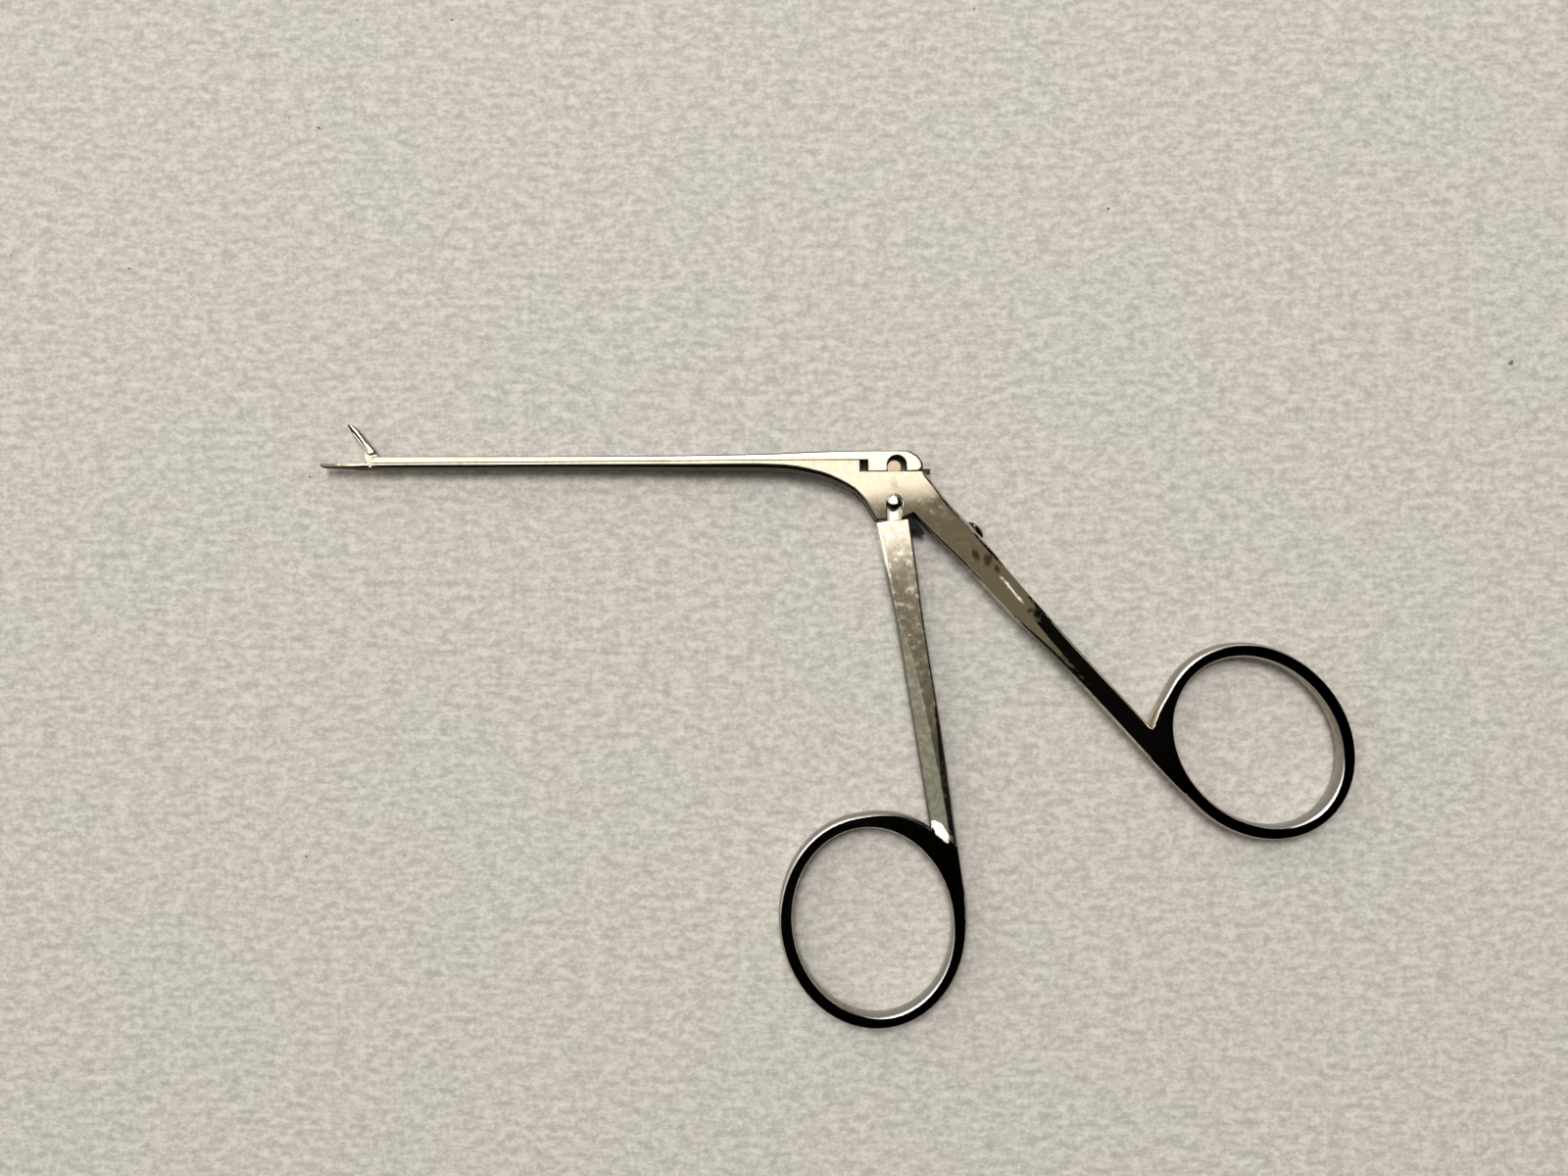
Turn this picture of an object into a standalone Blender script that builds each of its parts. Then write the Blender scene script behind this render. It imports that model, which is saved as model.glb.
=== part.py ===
"""Crimper forceps: squeezing the finger lever pushes a slide bar forward along the fixed half,
and a pin in the nose of the slide turns the upper jaw down onto the lower jaw.

Metres, +Z up. It lies on its flat side with the jaws towards -X and the slide bar towards +Y.
Everything is drawn from the lever pivot, with X along the joint between slide and fixed half, and
an empty then moves the whole so that the world origin is under the middle of its bounding box.
It is drawn fully open, the way it rests.
"""

import math

import bmesh
import bpy
from mathutils import Matrix, Vector
from mathutils.geometry import delaunay_2d_cdt

# Sizes of the fixed half
BODY_THICKNESS = 0.00400
NOSE_DISTANCE = 0.07370
NOSE_THICKNESS = 0.00200
JAW_TIP_THICKNESS = 0.00150
BAR_TAPER = 0.06000
JOINT_HEIGHT = 0.00603
HEAD_DROP = 0.00161
HEAD_FRONT = 0.00370
JOINT_EDGE = 0.00008
REST_TIP_THICKNESS = 0.00320

# Underside of the bar behind the nose: distance back from the pivot, depth under the joint, rounding
BAR_UNDERSIDE = (
    (-0.05750, 0.00094, 0.00065),
    (-0.04350, 0.00102, 0.00070),
    (-0.02950, 0.00124, 0.00085),
    (-0.01550, 0.00153, 0.00095),
)
NOSE_DEPTH = 0.00087
NOSE_ROUNDING = 0.00060

# Lower jaw, from the nose outwards and back under: along, above the joint, rounding
LOWER_JAW = (
    (-0.00310, 0.00001, 0.00008),
    (-0.00660, -0.00004, 0.00008),
    (-0.00722, 0.00001, 0.00010),
    (-0.00745, -0.00015, 0.00012),
    (-0.00728, -0.00046, 0.00018),
    (-0.00685, -0.00066, 0.00025),
    (-0.00490, -0.00076, 0.00035),
    (-0.00210, -0.00088, 0.00050),
)

# Front edge of the body above the pivot: x, height as a share of the joint height, rounding
BODY_THROAT = (
    (-0.01047, 0.590, 0.00090),
    (-0.00810, 0.456, 0.00075),
    (-0.00580, 0.262, 0.00060),
    (-0.00464, 0.086, 0.00052),
)

# Front edge below the pivot, and the heel: x, y, rounding
BODY_FRONT = (
    (-0.00350, -0.00095, 0.00045),
    (-0.00267, -0.00250, 0.00030),
)
BODY_HEEL_LEFT = -0.00247
BODY_HEEL_RIGHT = (
    (0.00103, -0.00210, 0.00012),
    (0.00205, -0.00172, 0.00012),
    (0.00263, -0.00142, 0.00012),
)

# Thumb handle: inner edge outwards, then outer edge back to the top of the body
THUMB_INNER_EDGE = (
    (0.00263, -0.00142, 0.00012),
    (0.00527, -0.00425, 0.00025),
    (0.01030, -0.00930, 0.00035),
    (0.01660, -0.01610, 0.00035),
    (0.02280, -0.02220, 0.00048),
    (0.02860, -0.02840, 0.00058),
    (0.03260, -0.03280, 0.00065),
    (0.03800, -0.03870, 0.00060),
    (0.04060, -0.04130, 0.00030),
)
THUMB_ROOT = (
    (0.04130, -0.04060, 0.00015),
    (0.03930, -0.03700, 0.00015),
    (0.03860, -0.03350, 0.00015),
)
THUMB_OUTER_EDGE = (
    (0.03600, -0.03190, 0.00055),
    (0.03256, -0.02796, 0.00080),
    (0.02891, -0.02404, 0.00085),
    (0.02500, -0.01988, 0.00080),
    (0.02116, -0.01550, 0.00070),
    (0.01752, -0.01136, 0.00060),
    (0.01045, -0.00296, 0.00060),
    (0.00761, 0.00004, 0.00060),
    (0.00556, 0.00270, 0.00055),
)
BODY_TOP_CORNER = 0.00387
BODY_TOP_CHAMFER = 0.00045
BODY_TOP_ROUNDING = 0.00035
THUMB_TAPER_START = 0.02700
THUMB_TAPER_END = 0.05000

# Ridge along the thumb handle, with a facet that slopes down from it to the outer edge: x, y
THUMB_RIDGE = (
    (0.01302, -0.00845),
    (0.01506, -0.01125),
    (0.01721, -0.01400),
    (0.01950, -0.01665),
    (0.02170, -0.01938),
    (0.02400, -0.02200),
    (0.02630, -0.02465),
    (0.02865, -0.02720),
    (0.03110, -0.02970),
    (0.03380, -0.03230),
)
THUMB_FACET_SLOPE = 0.10

# Finger rings
THUMB_RING_CENTRE = (0.051128, -0.03400)
THUMB_RING_LONG = 0.01285
THUMB_RING_SHORT = 0.01060
THUMB_RING_LEAN = 42.9
THUMB_RING_SWELL = 0.00150
THUMB_RING_SWELL_AT = 188.0
THUMB_RING_SWELL_SPREAD = 35.0
FINGER_RING_CENTRE = (-0.00334, -0.05910)
FINGER_RING_LONG = 0.01315
FINGER_RING_SHORT = 0.01113
FINGER_RING_LEAN = 8.3
FINGER_RING_SWELL = 0.00120
FINGER_RING_SWELL_AT = 47.0
FINGER_RING_SWELL_SPREAD = 55.0
RING_WALL = 0.00215
RING_THICKNESS = 0.00340
RING_SQUARENESS = 2.5

# Finger lever: shoulder, left edge down, end inside the ring wall, right edge up
LEVER_SHOULDER = (0.00199, -0.00224, 0.00020)
LEVER_LEFT_EDGE = (
    (-0.00261, -0.00280, 0.00025),
    (-0.00138, -0.00885, 0.00030),
    (0.00015, -0.01616, 0.00030),
    (0.00169, -0.02568, 0.00032),
    (0.00321, -0.03520, 0.00036),
    (0.00475, -0.04499, 0.00036),
    (0.00500, -0.04660, 0.00036),
)
LEVER_ROOT = (
    (0.00670, -0.05000, 0.00015),
    (0.00800, -0.05450, 0.00015),
    (0.00880, -0.05850, 0.00015),
)
LEVER_RIGHT_EDGE = (
    (0.00975, -0.05900, 0.00030),
    (0.00960, -0.05500, 0.00060),
    (0.00907, -0.05079, 0.00060),
    (0.00827, -0.04539, 0.00050),
    (0.00707, -0.03653, 0.00042),
    (0.00614, -0.03017, 0.00036),
    (0.00394, -0.01619, 0.00030),
    (0.00308, -0.00928, 0.00030),
)
LEVER_TAPER_START = 0.01610
LEVER_TAPER_END = 0.05000
LEVER_TOP_START = 0.01200
LEVER_TOP_END = 0.00220
LEVER_TOP_THICKNESS = 0.00360

# Ridges down the lever, with a facet from the left one to the left edge and one on the right: x, y
LEVER_LEFT_RIDGE = (
    (0.00075, -0.01700),
    (0.00140, -0.01850),
    (0.00215, -0.02100),
    (0.00290, -0.02374),
    (0.00360, -0.02650),
    (0.00423, -0.02925),
    (0.00480, -0.03205),
    (0.00533, -0.03485),
    (0.00588, -0.03760),
    (0.00640, -0.04040),
    (0.00690, -0.04320),
    (0.00735, -0.04600),
)
LEVER_RIGHT_RIDGE = (
    (0.00545, -0.02930),
    (0.00573, -0.03190),
    (0.00595, -0.03475),
    (0.00614, -0.03760),
    (0.00659, -0.04040),
    (0.00710, -0.04320),
    (0.00757, -0.04600),
)
LEVER_FACET_SLOPE = 0.11

# Drive: the lever tip in the arch of the slide
STROKE = 0.00107
STOP_GAP = 0.00010
TIP_DEPTH = 0.00100
TIP_LEAD = 0.00006
TIP_RADIUS = 0.00105
ARCH_GAP = 0.00008
ARCH_SLACK = 0.00062
ARCH_HEADROOM = 0.00022
TONGUE_THICKNESS = 0.00130
TONGUE_EDGE = 0.00010
TONGUE_NECK = 0.00095
TONGUE_BOSS = 0.00190
TONGUE_ROOT = 0.00500
TONGUE_ROOT_HALF = 0.00209
TONGUE_STOP = (
    (0.00220, -0.00380),
    (0.00360, -0.00430),
    (0.00435, -0.00445),
    (0.00400, -0.00375),
    (0.00260, -0.00210),
)
TIP_WRAP = 20.0
TIP_SHOULDER = 0.00163

# Slot in the body round the tongue: heights where its sides bend, and how far out at the front
SWING_GAP = 0.00025
SLOT_NECK_HEIGHT = 0.00322
SLOT_BOSS_HEIGHT = 0.00161
SLOT_BACK_HEIGHT = 0.00086
SLOT_FRONT_REACH = 0.00615
SLOT_EDGE = 0.00018

# Lever pivot
PIVOT_PIN_RADIUS = 0.00098
PIVOT_PIN_DOME = 0.00030
PIVOT_GAP = 0.00005

# Top edge of the slide, from the head to the nose: x, height above the joint, rounding
SLIDE_TOP = (
    (0.00183, 0.00123, 0.00030),
    (-0.00720, 0.00125, 0.00035),
    (-0.01130, 0.00116, 0.00035),
    (-0.01800, 0.00093, 0.00033),
    (-0.03000, 0.00080, 0.00030),
    (-0.04300, 0.00079, 0.00028),
)
SLIDE_NOSE_HEIGHT = 0.00094
SLIDE_NOSE_ROUNDING = 0.00022
SLIDE_NOSE_EDGE = 0.00018
SLIDE_EDGE = 0.00006

# Back edge of the head, upwards: x, height above the joint, rounding
HEAD_BACK = (
    (0.00332, -0.00156, 0.00010),
    (0.00411, -0.00137, 0.00040),
    (0.00415, -0.00063, 0.00045),
    (0.00379, 0.00001, 0.00035),
    (0.00334, 0.00056, 0.00035),
    (0.00242, 0.00107, 0.00030),
)

# Dovetail under the slide
GUIDE_DEPTH = 0.00042
GUIDE_NECK = 0.00050
GUIDE_FOOT = 0.00090
GUIDE_START = 0.00170
GUIDE_END = 0.00500
GUIDE_TAIL = 0.00520
RUN_GAP = 0.00004

# Jaw pivot and drive pin, from the nose of the fixed half
JAW_PIVOT_AHEAD = 0.00020
JAW_PIVOT_DEPTH = 0.00041
JAW_SWING = 55.2
JAW_PIN_RADIUS = 0.00020
DRIVE_PIN_RADIUS = 0.00017
PIN_GAP = 0.00003
PIN_RECESS = 0.00004
TANG_THICKNESS = 0.00070
TANG_GAP = 0.00005
TANG_SLOT_FRONT = 0.00235
TANG_SLOT_BACK = 0.00070
FORK_DEPTH = 0.00112

# Upper jaw, open, from its pivot: along, up, rounding
JAW_BACK = (
    (0.00049, 0.00176, 0.00012),
    (0.00058, 0.00198, 0.00018),
    (-0.00001, 0.00279, 0.00025),
    (-0.00076, 0.00365, 0.00025),
    (-0.00161, 0.00475, 0.00022),
    (-0.00235, 0.00553, 0.00018),
    (-0.00282, 0.00588, 0.00012),
)
JAW_GRIP = (
    (-0.00323, 0.00583, 0.00010),
    (-0.00288, 0.00522, 0.00010),
    (-0.00214, 0.00395, 0.00010),
    (-0.00111, 0.00268, 0.00010),
    (-0.00031, 0.00158, 0.00010),
)
UPPER_JAW_THICKNESS = 0.00190
TANG_LOBE = 0.00034
TANG_LOBE_WRAP = 80.0
TANG_BACK = (
    (0.00090, 0.00075, 0.0),
    (0.00100, 0.00120, 0.0),
    (0.00090, 0.00135, 0.0),
    (0.00050, 0.00185, 0.0),
)
TANG_FRONT = (
    (-0.00050, 0.00220, 0.0),
    (-0.00095, 0.00199, 0.0),
    (-0.00095, 0.00129, 0.0),
    (-0.00061, 0.00056, 0.0),
)

# Screw on the rear edge of the thumb handle
SCREW_PLACE = (0.01142, -0.00405)
SCREW_HEAD_RADIUS = 0.00150
SCREW_HEAD_HEIGHT = 0.00080
SCREW_HEAD_RIM = 0.00010
SCREW_SHANK_RADIUS = 0.00080
SCREW_SHANK_LENGTH = 0.00180
SCREW_SEAT = 0.00005

# Fineness of the facets
ROUNDING_STEPS = 4
RING_STEPS = 64
RING_SECTION_STEPS = 14
PIN_STEPS = 32
SMALL_PIN_STEPS = 16
ARCH_STEPS = 16
TIP_STEPS = 20
ARC_STEPS = 8
DOME_STEPS = 6
EDGE_SPACING = 0.00180
BAR_SPACING = 0.00320
SMALL_SPACING = 0.00045
SHARP_ANGLE = 35.0
TINY = 0.0000020

# Worked out from the sizes
MID = BODY_THICKNESS / 2
NOSE_X = -NOSE_DISTANCE
JAW_LENGTH = -min(along for along, _, _ in LOWER_JAW)
HEAD_FRONT_X = -HEAD_FRONT
WINDOW_BACK_X = HEAD_FRONT_X - STROKE - STOP_GAP
HEAD_FLOOR_HEIGHT = JOINT_HEIGHT - HEAD_DROP
TIP_REACH = JOINT_HEIGHT - TIP_DEPTH
REST_TIP_ANGLE = math.asin(TIP_LEAD / TIP_REACH)
LEVER_SWING = REST_TIP_ANGLE + math.asin((STROKE - TIP_LEAD) / TIP_REACH)
TIP_HEIGHT = TIP_REACH * math.cos(REST_TIP_ANGLE)
ARCH_RADIUS = TIP_RADIUS + (ARCH_GAP + ARCH_SLACK) / 2
ARCH_X = TIP_LEAD + (ARCH_SLACK - ARCH_GAP) / 2
ARCH_HEIGHT = TIP_HEIGHT + ARCH_HEADROOM
SLOT_WIDTH = TONGUE_THICKNESS + 2 * PIVOT_GAP
JAW_PIVOT = (NOSE_X - JAW_PIVOT_AHEAD, JOINT_HEIGHT - JAW_PIVOT_DEPTH)
DRIVE_RISE = STROKE / 2 / math.tan(math.radians(JAW_SWING / 2))
DRIVE_PIN = (JAW_PIVOT[0] + STROKE / 2, JAW_PIVOT[1] + DRIVE_RISE)
DRIVE_REACH = math.hypot(STROKE / 2, DRIVE_RISE)
TANG_SLOT_WIDTH = TANG_THICKNESS + 2 * TANG_GAP


def blend(start, end, share):
    """A value between two, held at either end."""
    share = min(1.0, max(0.0, share))
    return start + (end - start) * share


def bar_thickness(x, _y):
    """The bar is thin at the nose and the jaw, and grows to the thickness of the body."""
    if x < NOSE_X:
        return blend(NOSE_THICKNESS, JAW_TIP_THICKNESS, (NOSE_X - x) / JAW_LENGTH)
    share = blend(0.0, 1.0, (x - NOSE_X) / BAR_TAPER)
    return blend(NOSE_THICKNESS, BODY_THICKNESS, share * share)


def right_of(ridge, x, y):
    """How far a place is to the right of a ridge, and nothing above where the ridge starts."""
    if y > ridge[0][1]:
        return 0.0
    upper, lower = ridge[-2:]
    for start, end in zip(ridge, ridge[1:]):
        if y >= end[1]:
            upper, lower = start, end
            break
    return x - upper[0] - (lower[0] - upper[0]) * (y - upper[1]) / (lower[1] - upper[1])


def fixed_thickness(x, y):
    """The bar and body, and the thumb handle, which thins towards its ring and its outer edge."""
    if x < BODY_TOP_CORNER:
        return bar_thickness(x, y)
    share = (math.hypot(x, y) - THUMB_TAPER_START) / (THUMB_TAPER_END - THUMB_TAPER_START)
    drop = THUMB_FACET_SLOPE * max(0.0, right_of(THUMB_RIDGE, x, y))
    return blend(BODY_THICKNESS, REST_TIP_THICKNESS, share) - 2 * drop


def lever_thickness(x, y):
    """The lever is thickest at its cross line, and thins towards its ends and beyond its ridges."""
    share = (-y - LEVER_TAPER_START) / (LEVER_TAPER_END - LEVER_TAPER_START)
    top = blend(0.0, 1.0, (y + LEVER_TOP_START) / (LEVER_TOP_START - LEVER_TOP_END))
    full = blend(BODY_THICKNESS, REST_TIP_THICKNESS, share)
    full -= (BODY_THICKNESS - LEVER_TOP_THICKNESS) * top * top
    left = max(0.0, -right_of(LEVER_LEFT_RIDGE, x, y))
    right = max(0.0, right_of(LEVER_RIGHT_RIDGE, x, y))
    return full - 2 * LEVER_FACET_SLOPE * (left + right)


def even_thickness(thickness):
    return lambda _x, _y: thickness


def curve_through(points, spacing):
    """A smooth curve through the points, as closer points that keep their rounding."""
    points = [Vector(point) for point in points]
    knots = [0.0]
    for before, after in zip(points, points[1:]):
        knots.append(knots[-1] + (after - before).xy.length)
    last = len(points) - 1
    slopes = []
    for i in range(len(points)):
        low = max(0, i - 1)
        high = min(last, i + 1)
        slopes.append((points[high] - points[low]) / (knots[high] - knots[low]))
    found = []
    for i in range(last):
        reach = knots[i + 1] - knots[i]
        steps = max(1, math.ceil(reach / spacing))
        for step in range(steps):
            t = step / steps
            along = points[i] * (1 + 2 * t) * (1 - t) ** 2 + points[i + 1] * t * t * (3 - 2 * t)
            bend = slopes[i] * t * (1 - t) ** 2 - slopes[i + 1] * t * t * (1 - t)
            found.append(along + bend * reach)
    return found + [points[last]]


def arc(centre, radius, start, end, steps, rounding=0.0):
    """Points along an arc, with its angles in degrees."""
    found = []
    for step in range(steps + 1):
        angle = math.radians(start + (end - start) * step / steps)
        x = centre[0] + radius * math.cos(angle)
        y = centre[1] + radius * math.sin(angle)
        found.append(Vector((x, y, rounding)))
    return found


def straight(points):
    return [Vector(point) for point in points]


def dome(radius, base, height):
    """Half of a domed profile as radius and height, from its top down to its rim."""
    turns = [math.pi / 2 * step / DOME_STEPS for step in range(DOME_STEPS + 1)]
    return [(radius * math.sin(turn), base + height * math.cos(turn)) for turn in turns]


def without_repeats(outline):
    found = []
    for point in outline:
        if not found or (point - found[-1]).xy.length > TINY:
            found.append(point)
    if (found[0] - found[-1]).xy.length < TINY:
        found.pop()
    return found


def inward(outline):
    """For each corner of an anticlockwise outline, the way in, longer at a sharp corner."""
    found = []
    for i, point in enumerate(outline):
        before = (point - outline[i - 1]).xy.normalized()
        after = (outline[(i + 1) % len(outline)] - point).xy.normalized()
        middle = (before + after).normalized()
        way = Vector((-middle.y, middle.x))
        square = max(0.5, way.dot(Vector((-before.y, before.x))))
        found.append(way / square)
    return found


def collection_named(name):
    group = bpy.data.collections.new(name)
    bpy.context.scene.collection.children.link(group)
    return group


def metal(name, colour, roughness):
    material = bpy.data.materials.new(name)
    material.use_nodes = True
    shader = material.node_tree.nodes["Principled BSDF"]
    shader.inputs["Base Color"].default_value = (*colour, 1.0)
    shader.inputs["Roughness"].default_value = roughness
    shader.inputs["Metallic"].default_value = 1.0
    return material


def object_from(bm, name, group):
    """An object whose mesh is the closed shape in bm, facing out and shaded smooth."""
    bmesh.ops.recalc_face_normals(bm, faces=bm.faces)
    mesh = bpy.data.meshes.new(name)
    bm.to_mesh(mesh)
    bm.free()
    mesh.shade_smooth()
    mesh.set_sharp_from_angle(angle=math.radians(SHARP_ANGLE))
    obj = bpy.data.objects.new(name, mesh)
    group.objects.link(obj)
    return obj


def rounded_plate(name, outline, thickness_at, group, ridges=()):
    """A plate about the middle plane whose two outlines are rounded over by each corner's rounding,
    with ridges across its two faces.
    """
    outline = without_repeats(outline)
    ways = inward(outline)
    levels = [(-1, step) for step in range(ROUNDING_STEPS, -1, -1)]
    levels += [(1, step) for step in range(ROUNDING_STEPS + 1)]
    bm = bmesh.new()
    loops = []
    for side, step in levels:
        turn = math.pi / 2 * step / ROUNDING_STEPS
        loop = []
        for point, way in zip(outline, ways):
            place = point.xy + way * point.z * (1 - math.cos(turn))
            rise = thickness_at(point.x, point.y) / 2 - point.z * (1 - math.sin(turn))
            loop.append(bm.verts.new((place.x, place.y, MID + side * rise)))
        loops.append(loop)
    skin_between(bm, loops)
    for side, loop in ((-1, loops[0]), (1, loops[-1])):
        lines = []
        for ridge in ridges:
            heights = [MID + side * thickness_at(x, y) / 2 for x, y in ridge]
            lines.append([bm.verts.new((x, y, z)) for (x, y), z in zip(ridge, heights)])
        fill(bm, loop, lines)
    return object_from(bm, name, group)


def fill(bm, loop, lines):
    """Fills a loop of corners with well-shaped triangles that follow the lines inside it."""
    spots = list(loop)
    edges = []
    for line in lines:
        edges += [(len(spots) + i, len(spots) + i + 1) for i in range(len(line) - 1)]
        spots += line
    flat = [spot.co.xy * 1000 for spot in spots]
    corners = list(range(len(loop)))
    _, _, triangles, sources, _, _ = delaunay_2d_cdt(flat, edges, [corners], 1, TINY)
    for triangle in triangles:
        bm.faces.new([spots[sources[i][0]] for i in triangle])


def skin_between(bm, loops):
    """Faces between each loop of corners and the next."""
    for lower, upper in zip(loops, loops[1:]):
        for i in range(len(lower)):
            j = (i + 1) % len(lower)
            bm.faces.new((lower[i], lower[j], upper[j], upper[i]))


def prism(name, outline, thickness, group):
    """A plate with square edges about the middle plane."""
    outline = without_repeats(outline)
    bm = bmesh.new()
    low = [bm.verts.new((point.x, point.y, MID - thickness / 2)) for point in outline]
    high = [bm.verts.new((point.x, point.y, MID + thickness / 2)) for point in outline]
    skin_between(bm, [low, high])
    bm.faces.new(reversed(low))
    bm.faces.new(high)
    return object_from(bm, name, group)


def round_bar(name, radius, length, steps, group, centre=(0.0, 0.0)):
    """A cylinder along Z about the middle plane."""
    bm = bmesh.new()
    bmesh.ops.create_cone(
        bm, cap_ends=True, segments=steps, radius1=radius, radius2=radius, depth=length
    )
    bmesh.ops.translate(bm, verts=bm.verts, vec=(centre[0], centre[1], MID))
    return object_from(bm, name, group)


def turned(name, profile, steps, group):
    """A round piece about Z from a profile of radius and height, listed from its top down."""
    mesh = bpy.data.meshes.new(name)
    points = [(radius, 0.0, height) for radius, height in profile]
    mesh.from_pydata(points, [(i, i + 1) for i in range(len(points) - 1)], [])
    obj = bpy.data.objects.new(name, mesh)
    group.objects.link(obj)
    screw = obj.modifiers.new("turn", "SCREW")
    screw.steps = steps
    screw.render_steps = steps
    screw.use_merge_vertices = True
    screw.merge_threshold = TINY
    screw.use_smooth_shade = True
    return obj


def dovetail(name, start, end, top, gap, group):
    """A bar along X, wider at its foot than at its neck, with a gap all round for the channel."""
    bm = bmesh.new()
    bmesh.ops.create_cube(bm, size=1.0)
    for vert in bm.verts:
        foot = vert.co.y < 0
        width = (GUIDE_FOOT if foot else GUIDE_NECK) + 2 * gap
        x = start if vert.co.x < 0 else end
        y = top - GUIDE_DEPTH - gap if foot else top + GUIDE_DEPTH
        vert.co = (x, y, MID + math.copysign(width / 2, vert.co.z))
    return object_from(bm, name, group)


def block(name, low, high, thickness, group):
    """A square-edged block about the middle plane."""
    bm = bmesh.new()
    bmesh.ops.create_cube(bm, size=1.0)
    for vert in bm.verts:
        x = low[0] if vert.co.x < 0 else high[0]
        y = low[1] if vert.co.y < 0 else high[1]
        vert.co = (x, y, MID + math.copysign(thickness / 2, vert.co.z))
    return object_from(bm, name, group)


def finger_ring(name, centre, long_radius, short_radius, lean, swell, swell_at, spread, group):
    """A ring of squarish round section, swept round an ellipse and thicker towards its handle."""
    bm = bmesh.new()
    tilt = Matrix.Rotation(math.radians(lean), 2)
    swell_turn = math.radians(swell_at)
    thickest = Vector((math.cos(swell_turn), math.sin(swell_turn)))
    loops = []
    for i in range(RING_STEPS):
        angle = 2 * math.pi * i / RING_STEPS
        x = short_radius * math.cos(angle)
        y = long_radius * math.sin(angle)
        out = Vector((long_radius * math.cos(angle), short_radius * math.sin(angle))).normalized()
        place = Vector((x, y))
        out.rotate(tilt)
        place.rotate(tilt)
        away = math.degrees(out.angle(thickest))
        bulge = math.cos(math.pi / 2 * min(1.0, away / spread)) ** 2
        wall = RING_WALL + swell * bulge
        loop = []
        for j in range(RING_SECTION_STEPS):
            turn = 2 * math.pi * (j + 0.5) / RING_SECTION_STEPS
            along, up = squarish(turn)
            spot = place + out * wall / 2 * (1 + along)
            height = MID + RING_THICKNESS / 2 * up
            loop.append(bm.verts.new((centre[0] + spot.x, centre[1] + spot.y, height)))
        loops.append(loop)
    skin_between(bm, loops + [loops[0]])
    return object_from(bm, name, group)


def squarish(turn):
    """A point on a rounded square of half-width one."""
    power = 2 / RING_SQUARENESS
    along = math.copysign(abs(math.cos(turn)) ** power, math.cos(turn))
    up = math.copysign(abs(math.sin(turn)) ** power, math.sin(turn))
    return along, up


def boolean(obj, other, operation):
    """Joins or cuts obj with other, which becomes a hidden helper."""
    other.hide_render = True
    other.display_type = "WIRE"
    modifier = obj.modifiers.new(other.name, "BOOLEAN")
    modifier.operation = operation
    modifier.solver = "EXACT"
    modifier.object = other


def join(obj, other):
    boolean(obj, other, "UNION")


def cut(obj, other):
    boolean(obj, other, "DIFFERENCE")


def fixed_outline():
    """The fixed half seen from above, anticlockwise from the back of the joint line."""
    top = JOINT_HEIGHT - RUN_GAP
    floor = HEAD_FLOOR_HEIGHT - RUN_GAP
    joint = [(WINDOW_BACK_X, top, JOINT_EDGE), (NOSE_X, top, JOINT_EDGE)]
    jaw = [(NOSE_X + along, JOINT_HEIGHT + up, r) for along, up, r in LOWER_JAW]
    under = [(NOSE_X, JOINT_HEIGHT - NOSE_DEPTH, NOSE_ROUNDING)]
    under += [(x, JOINT_HEIGHT - depth, r) for x, depth, r in BAR_UNDERSIDE]
    throat = [(x, JOINT_HEIGHT * share, r) for x, share, r in BODY_THROAT]
    slot = PIVOT_PIN_RADIUS + PIVOT_GAP
    heel = [(-slot, BODY_HEEL_LEFT, SLOT_EDGE)]
    outline = curve_through(joint, BAR_SPACING)
    outline += curve_through([joint[1]] + jaw[:3], SMALL_SPACING * 2)
    outline += curve_through(jaw[2:], SMALL_SPACING)
    outline += curve_through([jaw[-1]] + under + throat + list(BODY_FRONT), EDGE_SPACING)
    outline += straight(heel)
    outline += arc((0.0, 0.0), slot, 180, 0, ARCH_STEPS, SLOT_EDGE)
    outline += straight(BODY_HEEL_RIGHT)
    outline += curve_through(THUMB_INNER_EDGE, EDGE_SPACING)
    outline += straight(THUMB_ROOT)
    shoulder = (BODY_TOP_CORNER + BODY_TOP_CHAMFER, floor - BODY_TOP_CHAMFER, BODY_TOP_ROUNDING)
    corner = (BODY_TOP_CORNER, floor, JOINT_EDGE)
    outline += curve_through(THUMB_OUTER_EDGE + (shoulder, corner), EDGE_SPACING)
    outline += straight([(WINDOW_BACK_X, floor, JOINT_EDGE)])
    return outline


def lever_slot_outline():
    """Where the lever tongue swings inside the body, open to the top, the front and below."""
    swept = TIP_RADIUS + SWING_GAP
    turn = Matrix.Rotation(LEVER_SWING, 2)
    stop = [turn @ Vector(corner) + Vector((SWING_GAP, SWING_GAP)) for corner in TONGUE_STOP[2:]]
    tip = HEAD_FLOOR_HEIGHT + GUIDE_DEPTH
    left = TIP_LEAD - STROKE
    boss = TONGUE_BOSS + 2 * SWING_GAP
    corners = (
        (TIP_LEAD + swept, tip),
        (left - swept, tip),
        (left - TONGUE_NECK - SWING_GAP, SLOT_NECK_HEIGHT),
        (-boss, SLOT_BOSS_HEIGHT),
        (-SLOT_FRONT_REACH, SLOT_BOSS_HEIGHT),
        (-SLOT_FRONT_REACH, -TONGUE_ROOT),
        (stop[0].x + SWING_GAP, -TONGUE_ROOT),
        *stop,
        (boss, SLOT_BACK_HEIGHT),
        (TIP_LEAD + TONGUE_NECK + SWING_GAP, SLOT_NECK_HEIGHT),
    )
    return [Vector((x, y, 0.0)) for x, y in corners]


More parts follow.
